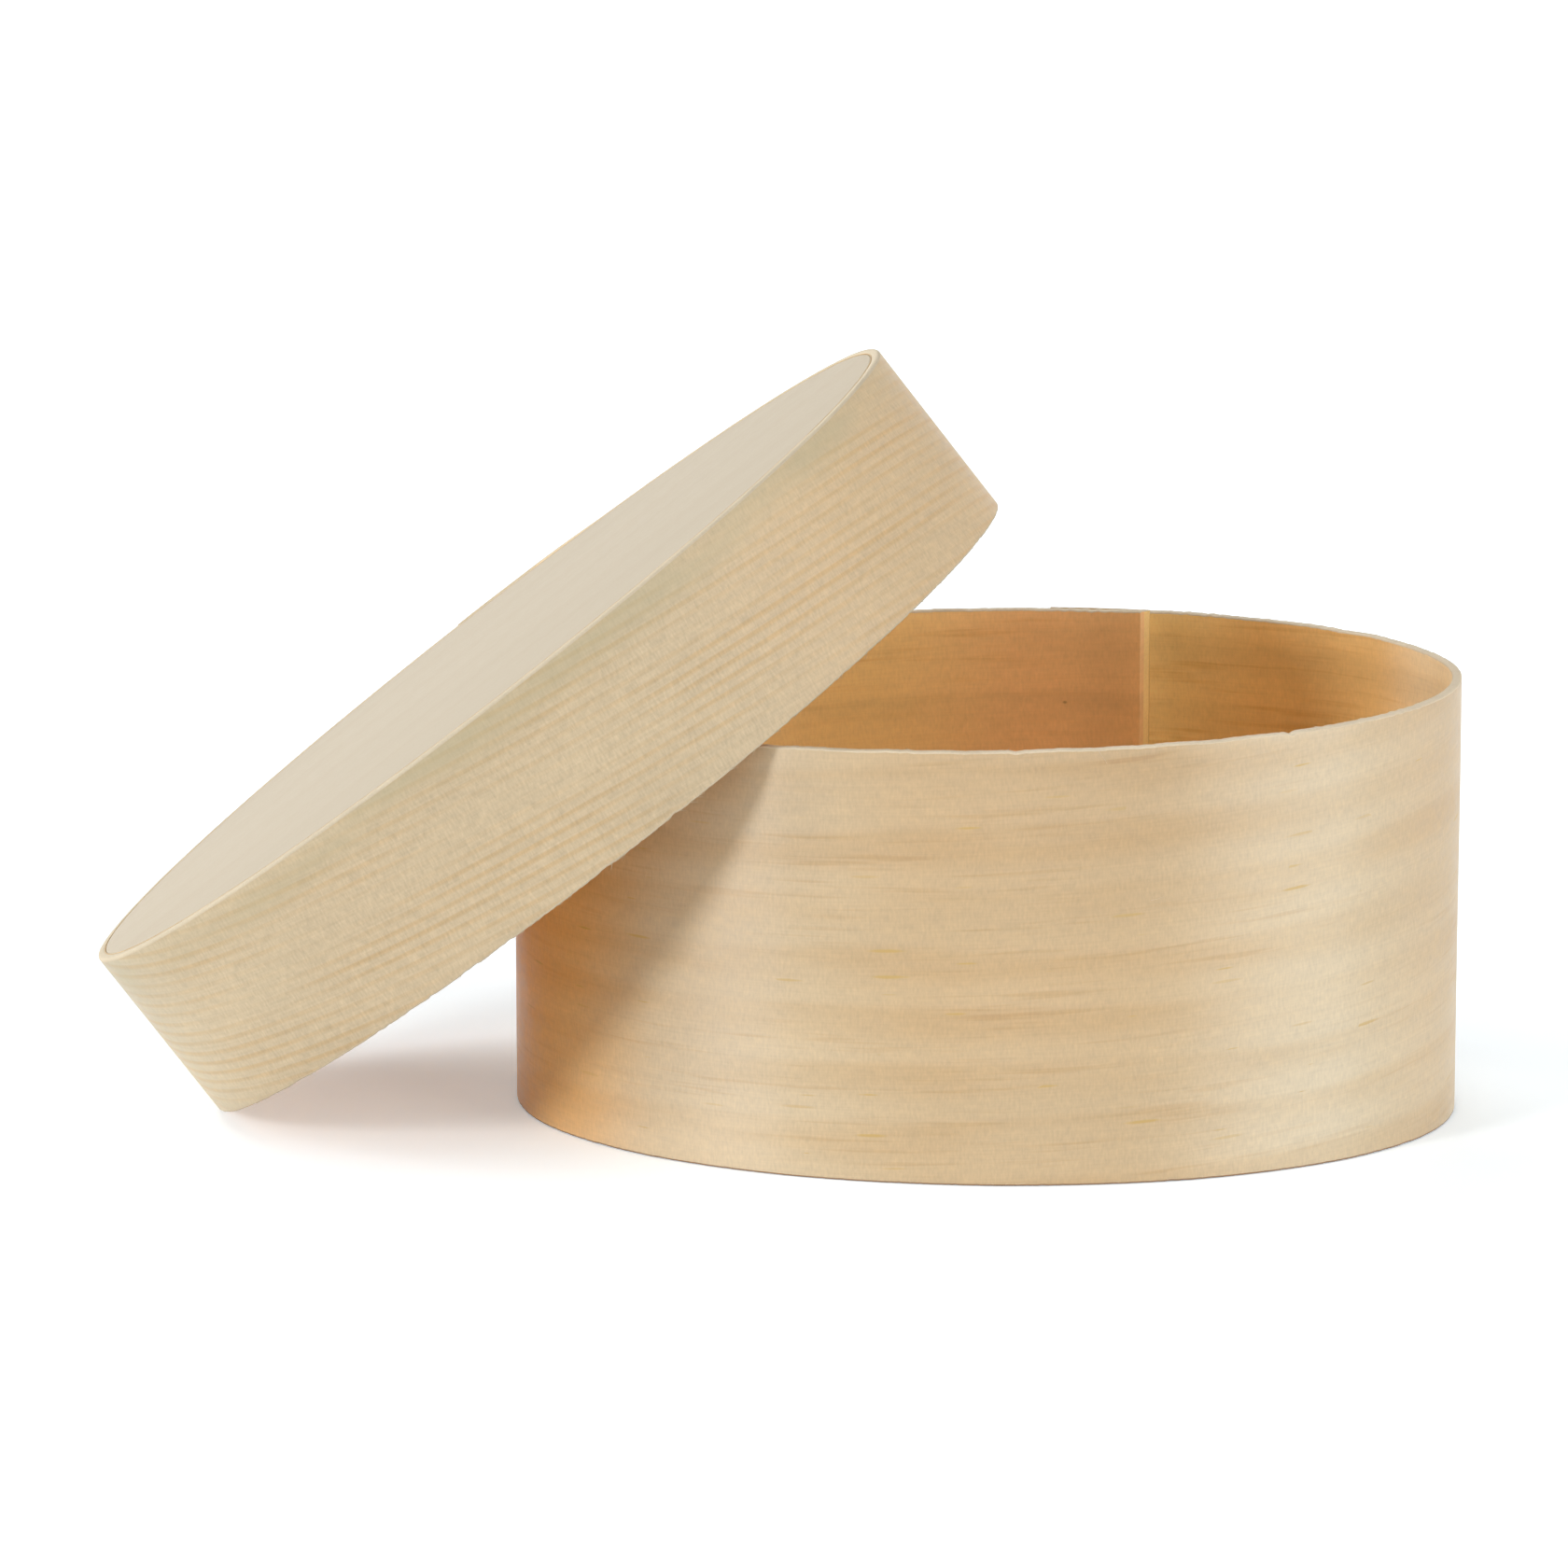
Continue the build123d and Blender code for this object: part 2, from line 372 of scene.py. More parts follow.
def bevel_ends(strip, length, veneer):
    """Cuts the slopes on the two ends: on the inner face at the start, on the outer face at the end."""
    drop = veneer - BEVEL_EDGE

    def cut(point, normal):
        bpy.ops.mesh.select_all(action="SELECT")
        bpy.ops.mesh.bisect(
            plane_co=point, plane_no=Vector(normal).normalized(), clear_outer=True, use_fill=True,
            threshold=TINY,
        )

    def divide():
        bpy.ops.mesh.select_all(action="SELECT")
        bpy.ops.mesh.bisect(plane_co=(PALE_SLOPE, 0, 0), plane_no=(1, 0, 0), threshold=TINY)

    edit(
        strip,
        lambda: cut((0, BEVEL_EDGE - veneer / 2, 0), (-drop, INNER_BEVEL, 0)),
        lambda: cut((length, veneer / 2 - BEVEL_EDGE, 0), (drop, -OUTER_BEVEL, 0)),
        divide,
    )
    for face in strip.data.polygons:
        steep = abs(face.normal.x)
        if steep > SLOPING and face.center.x > INNER_BEVEL:
            face.material_index = CUT_EDGE_SLOT if steep > SQUARE_ON else OUTER_FACE_SLOT
        elif steep > SLOPING:
            face.material_index = INNER_FACE_SLOT if face.center.x > PALE_SLOPE else SLOPE_SLOT
        elif face.center.z < FOOT_HEIGHT and face.material_index == CUT_EDGE_SLOT:
            face.material_index = FOOT_SLOT


def make_fibre():
    """One loose fibre of wood, a metre long from the origin along X and thinner at its tip."""
    bpy.ops.object.select_all(action="DESELECT")
    bpy.ops.mesh.primitive_cone_add(
        vertices=4, radius1=FIBRE_THICKNESS / 2, radius2=FIBRE_THICKNESS / 6, depth=1,
        location=(0.5, 0, 0), rotation=(0, math.pi / 2, 0),
    )
    fibre = bpy.context.object
    bpy.ops.object.transform_apply()

    def divide_long_edges():
        select_edges(fibre, lambda first, second: abs(first.x - second.x) > 0.5)
        bpy.ops.mesh.subdivide(number_cuts=3)

    edit(fibre, divide_long_edges)
    return fibre


def fray(strip, fibres):
    """Joins loose fibres to a flat strip.

    Each is given by its foot, its length, its turn up from the grain, its lean outwards and its curl."""
    slots = [face.material_index for face in strip.data.polygons]
    model = make_fibre()
    copies = []
    for foot, length, turn, lean, curl in fibres:
        copy = bpy.data.objects.new("fibre", model.data.copy())
        bpy.context.collection.objects.link(copy)
        for vertex in copy.data.vertices:
            vertex.co.z += curl * (vertex.co.x * length) ** 2
        turned = Matrix.Rotation(-lean, 4, "Z") @ Matrix.Rotation(-turn, 4, "Y")
        copy.data.transform(Matrix.Translation(foot) @ turned @ Matrix.Diagonal((length, 1, 1, 1)))
        copies.append(copy)
    bpy.data.objects.remove(model)
    pick(strip)
    for copy in copies:
        copy.select_set(True)
    bpy.ops.object.join()

    # Joining drops the strip's empty material slots, which its faces name.
    while len(strip.data.materials) < len(SLOTS):
        strip.data.materials.append(None)
    for face in strip.data.polygons:
        face.material_index = slots[face.index] if face.index < len(slots) else CUT_EDGE_SLOT


def edge_fibres(first, last, count, height, side, up, seed):
    """Short random fibres on an edge, between two distances along a strip.

    height and side are where the edge is in Z and Y. up is how steeply the fibres rise, and they point down
    where it is less than 0."""
    chance = random.Random(seed)
    fibres = []
    for _ in range(count):
        foot = (chance.uniform(first, last), side, height)
        along = chance.choice((0, math.pi))
        turn = math.radians(chance.uniform(*FIBRE_TURN)) * up
        lean = math.radians(chance.uniform(*FIBRE_LEAN))
        if along:
            turn, lean = math.pi - turn, -lean
        length = chance.uniform(*FIBRE_LENGTH) * MM
        fibres.append((foot, length, turn, lean, chance.uniform(-FIBRE_CURL, FIBRE_CURL)))
    return fibres


def map_flat(piece):
    """Gives a piece's faces a UV map in metres, from its X along and its Z and Y across."""
    layer = piece.data.uv_layers.active or piece.data.uv_layers.new()
    for loop in piece.data.loops:
        point = piece.data.vertices[loop.vertex_index].co
        layer.data[loop.index].uv = (point.x, point.z + point.y)


def trim_edges(strip, height, path, slope, lower, upper, seed, nicks=(), lap_drop=0.0):
    """Moves a strip's points: the rim's slope along the box, ragged cuts and slight waves in the face.

    lower and upper are how ragged the two edges are. A nick has an edge, 0 for the lower and 1 for the upper,
    a distance along the strip, a depth and half a width. lap_drop is how much lower the upper edge is where
    the strip passes over its own inner end."""
    for vertex in strip.data.vertices:
        point = vertex.co
        up = point.z / height
        rim = slope * path.place(point.x).x * up
        fine = noise.noise(Vector((point.x * FINE_NOTCHES, seed, up * NOTCH_CHANGE)))
        coarse = noise.noise(Vector((point.x * COARSE_NOTCHES, seed + COARSE_SEED, up * NOTCH_CHANGE)))
        notch = [0.0, 0.0]
        for edge, distance, depth, half in nicks:
            notch[edge] += depth * max(0, 1 - abs(point.x - distance) / half)
        wave = noise.noise(Vector((point.x * WAVES_ALONG, point.z * WAVES_UP, seed))) * WAVE_DEPTH
        point.z += rim
        if up > 1 - EDGE_ZONE:
            point.z += upper * (fine + coarse) - notch[1] - lap_drop * path.risen(point.x)
        elif up < EDGE_ZONE:
            point.z += lower * abs(fine + coarse) + notch[0]
        point.y += wave


def shade_smooth(piece):
    """Shades a piece smooth, apart from its sharp edges."""
    pick(piece)
    bpy.ops.object.shade_smooth_by_angle(angle=SMOOTH_ANGLE)


def bend(strip, path):
    """Bends a flat strip along its path."""
    curve = path.curve()
    apply_modifier(strip, "CURVE", object=curve, deform_axis="POS_X")
    bpy.data.objects.remove(curve)
    shade_smooth(strip)


def box_oval():
    """The oval inside the box's strip, from the bottom panel."""
    low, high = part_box("box_base")
    film = settings()[0].glue_film
    return Oval((high.x - low.x) / 2 + film, (high.y - low.y) / 2 + film)


def lid_oval():
    """The oval inside the lid's strip, which clears the box's lap."""
    sizes = settings()[0]
    return box_oval().grown(2 * sizes.veneer + sizes.glue_film + sizes.lid_play)


def lid_place():
    """Moves a lid made flat, with its top face's centre at the origin, to where it leans."""
    sizes, leaning, _, _ = settings()
    low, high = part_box("lid_top")
    turned = Matrix.Rotation(-leaning.lean, 4, "Y") @ Matrix.Rotation(leaning.turn, 4, "Z")
    to_top = turned @ Vector((0, 0, sizes.panel / 2))
    return Matrix.Translation((low + high) / 2 + to_top) @ turned


PANEL_SIDES = 256
PANEL_ROUND = 0.3 * MM
OUTER_PANEL_SLOT = 0
INNER_PANEL_SLOT = 1  # of the face of a panel that is inside the box or the lid
FACING = 0.5  # least part of a normal, on a panel's face


def panel(name, oval, thickness, film):
    """An oval panel with its top face at height zero and softly rounded edges."""
    bpy.ops.object.select_all(action="DESELECT")
    bpy.ops.mesh.primitive_cylinder_add(
        vertices=PANEL_SIDES, radius=1, depth=thickness, location=(0, 0, -thickness / 2)
    )
    piece = bpy.context.object
    piece.name = piece.data.name = name
    piece.scale = (oval.half_length - film, oval.half_width - film, 1)
    bpy.ops.object.transform_apply()
    apply_modifier(piece, "BEVEL", width=PANEL_ROUND, segments=3, limit_method="ANGLE")
    map_flat(piece)
    shade_smooth(piece)
    return piece


# Materials

LATE_SHARE = 0.82  # how light the late wood of the inner faces is against their early wood
STREAK = (0.80, 0.66, 0.48)  # what a streak leaves of the colour under it
SPECK = (0.25, 0.12, 0.03)
SPECK_SIZE = (0.15 * MM, 0.5 * MM)  # how far from its middle it starts to fade, and where it ends
SPECK_FLAT = 1.6  # a speck is this much longer along the grain than across it
RELIEF_DEPTH = 0.03 * MM  # of the fibres in the wood's face
UNEVEN = 0.06  # how much the roughness varies

# Patterns in the wood: repeats in a metre along and across the grain, detail, roughness and a shift
PATTERNS = {
    "stray": ((8, 20), 2, 0.5, (0, 0)),
    "ripple": ((45, 130), 2, 0.5, (0, 0)),
    "broken": ((22, 110), 3, 0.5, (3, 5)),
    "streak": ((38, 750), 2, 0.6, (6, 3)),
    "streaked_part": ((14, 60), 1, 0.5, (2, 4)),
    "fibre": ((110, 2600), 3, 0.6, (0, 0)),
    "check": ((2600, 700), 2, 0.6, (1, 8)),
    "blotch": ((420, 520), 3, 0.6, (4, 1)),
    "cloud": ((22, 55), 3, 0.5, (9, 2)),
    "grey_patch": ((35, 90), 3, 0.5, (2, 6)),
    "fleck_edge": ((900, 2500), 2, 0.5, (0, 0)),
}
MOTTLE = {"fibre": 0.12, "check": 0.22, "blotch": 0.16, "cloud": 0.14}  # how much each lightens the wood

# Resin flecks: one to a cell at most, in some of the cells
FLECK_CELLS = (75, 240)  # in a metre along and across the grain
FLECK_CHANCE = 0.71  # a cell has a fleck where its random value is above this
FLECK_SLIM = (4.2, 13.0, 0)  # how much shorter and narrower than its cell a fleck is


def blended(first, second, share):
    """A colour between two others."""
    return tuple(one + share * (other - one) for one, other in zip(first, second))


def dimmed(tone, share):
    """A colour times a number."""
    return tuple(share * part for part in tone)


def tinted(tone, tint):
    """A colour times another."""
    return tuple(part * share for part, share in zip(tone, tint))


class Shading:
    """Builds the nodes of a new material, or of the world, in plain steps."""

    def __init__(self, name="", world=None):
        self.material = world or bpy.data.materials.new(name)
        self.material.use_nodes = True
        self.tree = self.material.node_tree
        self.tree.nodes.clear()
        self.output = self.node("OutputWorld" if world else "OutputMaterial")

    def node(self, kind, inputs=None, **values):
        """A new node with its settings, and its inputs by name or number."""
        made = self.tree.nodes.new(f"ShaderNode{kind}")
        for name, value in values.items():
            setattr(made, name, value)
        for name, source in (inputs or {}).items():
            self.join(source, made.inputs[name])
        return made

    def join(self, source, target):
        """Links an output to an input, or sets the input to a plain value."""
        if isinstance(source, bpy.types.NodeSocket):
            self.tree.links.new(source, target)
        else:
            target.default_value = source

    def end(self, source):
        """Makes an output the surface of the material or of the world."""
        self.join(source, self.output.inputs["Surface"])

    def coordinates(self, kind="UV"):
        return self.node("TexCoord").outputs[kind]

    def mapped(self, vector, scale=(1, 1, 1), turn=0.0, move=(0, 0, 0)):
        inputs = {"Vector": vector, "Scale": scale, "Rotation": (0, 0, turn), "Location": move}
        return self.node("Mapping", inputs).outputs["Vector"]

    def noise(self, vector, detail=2.0, roughness=0.5):
        inputs = {"Vector": vector, "Scale": 1.0, "Detail": detail, "Roughness": roughness}
        return self.node("TexNoise", inputs).outputs["Fac"]

    def pattern(self, place, name):
        """One of the wood's patterns, on coordinates along and across the grain."""
        scale, detail, roughness, shift = PATTERNS[name]
        return self.noise(self.mapped(place, (*scale, 1), move=(*shift, 0)), detail, roughness)

    def split(self, vector):
        """The three parts of a vector."""
        return self.node("SeparateXYZ", {"Vector": vector}).outputs

    def math(self, operation, first, second=0.0, third=0.0):
        return self.node("Math", {0: first, 1: second, 2: third}, operation=operation).outputs["Value"]

    def vector_math(self, operation, first, second=(0, 0, 0), output="Vector"):
        return self.node("VectorMath", {0: first, 1: second}, operation=operation).outputs[output]

    def looked_at(self):
        """1 where the camera sees a surface, also mirrored or through another, and 0 where it lights one."""
        rays = self.node("LightPath").outputs
        mirrored = self.math("MAXIMUM", rays["Is Glossy Ray"], rays["Is Transmission Ray"])
        return self.math("MAXIMUM", rays["Is Camera Ray"], mirrored)

    def ranged(self, value, low, high, to_low=0.0, to_high=1.0, kind="SMOOTHSTEP"):
        """Maps a value from one range to another, kept within it."""
        inputs = {"Value": value, "From Min": low, "From Max": high, "To Min": to_low, "To Max": to_high}
        return self.node("MapRange", inputs, interpolation_type=kind).outputs["Result"]

    def ramp(self, value, stops):
        """A smooth ramp through places from 0 to 1 and their colours."""
        made = self.node("ValToRGB", {"Fac": value})
        made.color_ramp.interpolation = "EASE"
        elements = made.color_ramp.elements
        while len(elements) < len(stops):
            elements.new(0.5)
        for element, (place, colour) in zip(elements, stops):
            element.position = place
            element.color = (*colour, 1)
        return made.outputs["Color"]

    def mix(self, share, first, second, blend="MIX"):
        """Mixes two colours, each an output or plain."""
        inputs = {"Factor": share}
        for name, source in (("A", first), ("B", second)):
            inputs[name] = source if isinstance(source, bpy.types.NodeSocket) else (*source, 1)
        return self.node("Mix", inputs, data_type="RGBA", blend_type=blend).outputs["Result"]

    def lightened(self, colour, light):
        """A colour times a plain value."""
        tone = self.node("CombineColor", {0: light, 1: light, 2: light})
        return self.mix(1.0, colour, tone.outputs["Color"], "MULTIPLY")

    def shade(self, colour, roughness, height, bump, distance=0.1 * MM, gloss=None):
        """Ends the material in one shader with a bump.

        gloss is the specular level, the index of refraction and how far the sheen spreads over the grain."""
        relief = self.node("Bump", {"Strength": bump, "Distance": distance, "Height": height})
        inputs = {"Base Color": colour, "Roughness": roughness, "Normal": relief.outputs["Normal"]}
        if gloss:
            inputs.update(zip(("Specular IOR Level", "IOR", "Anisotropic"), gloss))
            inputs["Anisotropic Rotation"] = 0.25
            grain = self.node("Tangent", direction_type="UV_MAP", uv_map="UVMap")
            inputs["Tangent"] = grain.outputs["Tangent"]
        self.end(self.node("BsdfPrincipled", inputs).outputs["BSDF"])
        return self.material


def wood(
    name, early, late, lines, turn, seed=0.0, contrast=1.0, first=0.1, soft=0.5, mottled=1.0, wander=11 * MM,
    streaked=0.0, fleck=None, along=None, bend=0.0, across=None, painted_shade_by_height=None, speck=None, greyed=None,
    gloss=(1.0, 1.55, 0.8), rough=0.48,
):
    """Peeled pine: growth lines across the strip, fine fibres along it, a soft mottle and resin flecks.

    lines is how many growth lines cross a metre, and turn is the angle of the grain to the strip. A line
    starts at the share first of its spacing and darkens over the share soft, and wander is how far the lines
    stray. early and late are colours, or lists of places from 0 to 1 and colours along a strip of the length
    in along. bend makes the grain rise ever more steeply from the middle of that length.
    painted_shade_by_height is such a list of what multiplies the colours up the height in across, painted
    light and shade that changes with height. streaked is the strength of short thin streaks.
    speck is where a small dark knot lies, and greyed a colour and two heights between which its patches set
    in."""
    make = Shading(name)
    flat = make.coordinates()
    ends = make.split(flat)
    grain = bent_grain(make, ends, along, bend) if along else flat
    place = make.mapped(grain, turn=turn, move=(seed, seed * 0.37, 0))
    band = growth_lines(make, place, lines, first, soft, wander)
    if along:
        share = make.math("DIVIDE", ends["X"], along)
        early, late = make.ramp(share, early), make.ramp(share, late)
    colour = make.mix(make.math("MULTIPLY", band, contrast), early, late)
    # Painted light and shade up the strip's height
    if painted_shade_by_height:
        left = make.ramp(make.math("DIVIDE", ends["Y"], across), painted_shade_by_height)
        colour = make.mix(1.0, colour, left, "MULTIPLY")
    if streaked:
        thin = make.ranged(make.pattern(place, "streak"), 0.53, 0.72, 0, streaked)
        part = make.ranged(make.pattern(place, "streaked_part"), 0.4, 0.6, 0.25, 1.0)
        colour = make.mix(make.math("MULTIPLY", thin, part), colour, STREAK, "MULTIPLY")

    patterns = {pattern: make.pattern(place, pattern) for pattern in MOTTLE}
    light = 1.0
    for pattern, depth in MOTTLE.items():
        middled = make.math("SUBTRACT", patterns[pattern], 0.5)
        light = make.math("MULTIPLY_ADD", middled, depth * mottled, light)
    colour = make.lightened(colour, light)
    if fleck:
        colour = resin_flecks(make, place, band, colour, fleck)
    if greyed:
        grey, low, high = greyed
        near = make.ranged(ends["Y"], low, high)
        patch = make.ranged(make.pattern(flat, "grey_patch"), 0.4, 0.6, 0.15, 0.6)
        colour = make.mix(make.math("MULTIPLY", near, patch), colour, grey)
    if speck:
        middle = (speck[0], speck[1] * SPECK_FLAT, 0)
        away = make.vector_math("DISTANCE", make.mapped(flat, scale=(1, SPECK_FLAT, 1)), middle, "Value")
        colour = make.mix(make.ranged(away, *SPECK_SIZE, 0.6, 0.0), colour, SPECK)
    relief = make.math("MULTIPLY_ADD", patterns["blotch"], 0.5, patterns["check"])
    relief = make.math("MULTIPLY_ADD", patterns["fibre"], 0.6, relief)
    uneven = make.ranged(patterns["blotch"], 0.3, 0.7, rough - UNEVEN, rough + UNEVEN)
    return make.shade(colour, uneven, relief, 0.3, distance=RELIEF_DEPTH, gloss=gloss)


def bent_grain(make, ends, length, bend):
    """Coordinates on a strip whose grain rises ever more steeply from its middle."""
    past = make.math("SUBTRACT", ends["X"], length / 2)
    risen = make.math("MULTIPLY_ADD", make.math("MULTIPLY", past, past), -bend, ends["Y"])
    return make.node("CombineXYZ", {"X": ends["X"], "Y": risen}).outputs["Vector"]


def growth_lines(make, place, lines, first, soft, wander):
    """How dark the wood is: up to 1 in a growth line and 0 between two."""
    line = make.math("MULTIPLY_ADD", make.pattern(place, "stray"), wander, make.split(place)["Y"])
    line = make.math("MULTIPLY_ADD", make.pattern(place, "ripple"), wander / 10, line)
    ring = make.math("FRACT", make.math("MULTIPLY", line, lines))
    rise = make.ranged(ring, first, first + soft)
    fall = make.ranged(ring, 0.8, 1.0, 1.0, 0.0)
    whole = make.ranged(make.pattern(place, "broken"), 0.32, 0.66, 0.1, 1.0)
    return make.math("MULTIPLY", make.math("MULTIPLY", rise, fall), whole)


def resin_flecks(make, place, band, colour, fleck):
    """Lays short orange marks along the grain, most of them where a growth line is dark."""
    spread = make.mapped(place, scale=(*FLECK_CELLS, 1))
    cells = make.node("TexVoronoi", {"Scale": 1.0, "Vector": spread}, feature="F1").outputs
    chances = make.node("SeparateColor", {"Color": cells["Color"]}).outputs
    chosen = make.ranged(chances["Red"], FLECK_CHANCE - 0.01, FLECK_CHANCE + 0.01)
    near = make.vector_math("SUBTRACT", spread, cells["Position"])
    away = make.vector_math("LENGTH", make.vector_math("MULTIPLY", near, FLECK_SLIM), output="Value")
    frayed = make.math("MULTIPLY_ADD", make.pattern(place, "fleck_edge"), 0.5, away)
    size = make.math("MULTIPLY_ADD", chances["Green"], 0.65, 0.35)
    mark = make.ranged(make.math("DIVIDE", frayed, size), 0.7, 1.4, 1.0, 0.0)
    share = make.math("MULTIPLY", make.math("MULTIPLY", mark, chosen), make.ranged(band, 0.0, 0.4, 0.35, 0.8))
    return make.mix(share, colour, fleck)


def cut_edge(name, colour):
    """The pale, slightly rough fibres of a cut edge."""
    make = Shading(name)
    place = make.coordinates("Object")
    fibre = make.noise(make.mapped(place, scale=(2500, 2500, 2500)), detail=4, roughness=0.7)
    patch = make.noise(make.mapped(place, scale=(180, 180, 180)))
    light = make.math("MULTIPLY_ADD", make.math("SUBTRACT", fibre, 0.5), 0.3, 1.0)
    light = make.math("MULTIPLY_ADD", make.math("SUBTRACT", patch, 0.5), 0.2, light)
    return make.shade(make.lightened(colour, light), 0.75, fibre, 0.6)


def glue_film(name, colour):
    """Dried wood glue: amber, smooth and a little uneven."""
    make = Shading(name)
    drift = make.noise(make.mapped(make.coordinates("Object"), scale=(300, 300, 300)), detail=3)
    shade = make.mix(make.ranged(drift, 0.3, 0.7, 0, 0.5), colour, dimmed(colour, 0.7))
    return make.shade(shade, 0.4, drift, 0.3)


def dress(piece, *materials):
    """Puts materials in a piece's slots, in order."""
    slots = piece.data.materials
    for index, material in enumerate(materials):
        if index < len(slots):
            slots[index] = material
        else:
            slots.append(material)


# What multiplies the box's colours up its height, painted light and shade that darkens it towards its rim,
# and the lid's along its strip, at places from 0 to 1
BOX_PAINTED_HEIGHT_SHADE = [(0, (1, 1, 1)), (0.15, (1, 1, 1)), (0.45, (0.975, 0.945, 0.9)), (0.95, (0.93, 0.885, 0.83))]
LID_TINTS = [
    (0.28, (0.88, 0.94, 1)), (0.36, (0.97, 0.985, 1)), (0.42, (1, 1, 1)), (0.55, (1, 1, 1)),
    (0.64, (1.03, 0.965, 0.88)), (0.75, (1.03, 0.95, 0.85)),
]
LID_GREY_HEIGHTS = (22 * MM, 29 * MM)  # up the lid's strip
BOX_SPECK = (13.7 * MM, 54.3 * MM)  # along the strip and up it


# Operators


class CHIPBOX_OT_box_strip(bpy.types.Operator):
    """Bend the box's strip round its bottom panel"""

    bl_idname = "chipbox.box_strip"
    bl_label = "Box Strip"

    def execute(self, context):
        sizes, _, colours, _ = settings()
        path = BentPath(box_oval(), sizes.box_seam, BOX_CREASES)
        strip = flat_strip("box_strip", path.length, sizes.box_height, sizes.veneer, sizes.edge_round)
        bevel_ends(strip, path.length, sizes.veneer)
        fray(strip, self.loose_fibres(sizes))
        map_flat(strip)
        trim_edges(
            strip, sizes.box_height, path, sizes.rim_rise / (2 * box_oval().grown(sizes.veneer).half_length),
            lower=0.1 * MM, upper=0.14 * MM, seed=3, nicks=BOX_NICKS, lap_drop=BOX_LAP_DROP,
        )
        bend(strip, path)
        early = self.outer_tones(colours)
        late = [part / whole for part, whole in zip(colours.box_late, colours.box_early)]
        outside = wood(
            "box_pine", early, [(at, tinted(tone, late)) for at, tone in early],
            lines=105, turn=math.radians(-1.5), fleck=colours.fleck, seed=0.31, contrast=0.6, mottled=1.5,
            streaked=0.45, along=path.length, bend=0.4, across=sizes.box_height, painted_shade_by_height=BOX_PAINTED_HEIGHT_SHADE,
        )
        early = self.inner_tones(colours)
        inside = wood(
            "box_inside_pine", early, [(at, dimmed(tone, LATE_SHARE)) for at, tone in early],
            lines=90, turn=math.radians(2), seed=0.52, contrast=0.6, soft=0.7, mottled=1.2, streaked=0.45,
            along=path.length, speck=BOX_SPECK, gloss=(0.8, 1.5, 0.8),
        )
        dress(
            strip, outside, cut_edge("box_cut_edge", colours.cut_edge), inside,
            cut_edge("box_slope", colours.slope), cut_edge("box_foot", colours.foot),
        )
        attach(strip, "box")
        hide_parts("box_band")
        return {"FINISHED"}

    def outer_tones(self, colours):
        """The tones of the outer face, at shares of the strip's length from its inner end. The warm ones
        towards the box's left end are painted shade where the lid's shadow falls, and the pale ones are
        partly painted sheen where the side lamps glint.
        """
        plain, pale, warm = colours.box_early, colours.box_pale_and_sheen, colours.box_warm_painted_shade
        return [
            (0, plain), (0.27, warm), (0.335, warm), (0.365, blended(warm, pale, 0.12)),
            (0.42, blended(plain, pale, 0.42)), (0.467, blended(plain, pale, 0.5)), (0.53, plain),
            (0.59, plain), (0.68, pale), (0.74, blended(plain, pale, 0.3)),
        ]

    def inner_tones(self, colours):
        """The tones of the inner face, at shares of the strip's length from its inner end. The light ones are
        painted light where light falls into the box, and the pale one at the box's right end is painted
        sheen.
        """
        start, end, light, pale = (
            colours.inside_start, colours.inside_end, colours.inside_painted_light, colours.inside_painted_sheen
        )
        return [
            (0, start), (0.014, dimmed(start, 0.9)), (0.04, start), (0.12, light), (0.4, end), (0.815, pale),
            (0.857, dimmed(end, 0.83)), (0.877, dimmed(end, 0.86)), (0.905, end), (0.955, light),
        ]

    def loose_fibres(self, sizes):
        """The fibres on the rim, at the foot and on the face of the box's strip."""
        outer, top = -sizes.veneer / 2, sizes.box_height
        fibres = edge_fibres(150 * MM, 285 * MM, 30, top - 0.05 * MM, outer, 1, seed=5)
        fibres += edge_fibres(20 * MM, 130 * MM, 12, top - 0.05 * MM, -outer, 1, seed=6)
        fibres += edge_fibres(150 * MM, 285 * MM, 18, 0.3 * MM, outer, 0.4, seed=7)
        face = outer - FIBRE_THICKNESS / 2
        degree = math.radians(1)
        fibres += [
            ((226.9 * MM, outer, top), 0.8 * MM, 55 * degree, 0, 0),
            ((257.4 * MM, outer, top), 0.9 * MM, 30 * degree, 0, 120),
            ((240.7 * MM, face, top), 2.9 * MM, -50 * degree, 0, -40),
            ((249.3 * MM, face, 44.8 * MM), 2.0 * MM, 6 * degree, 0, 60),
        ]
        return fibres


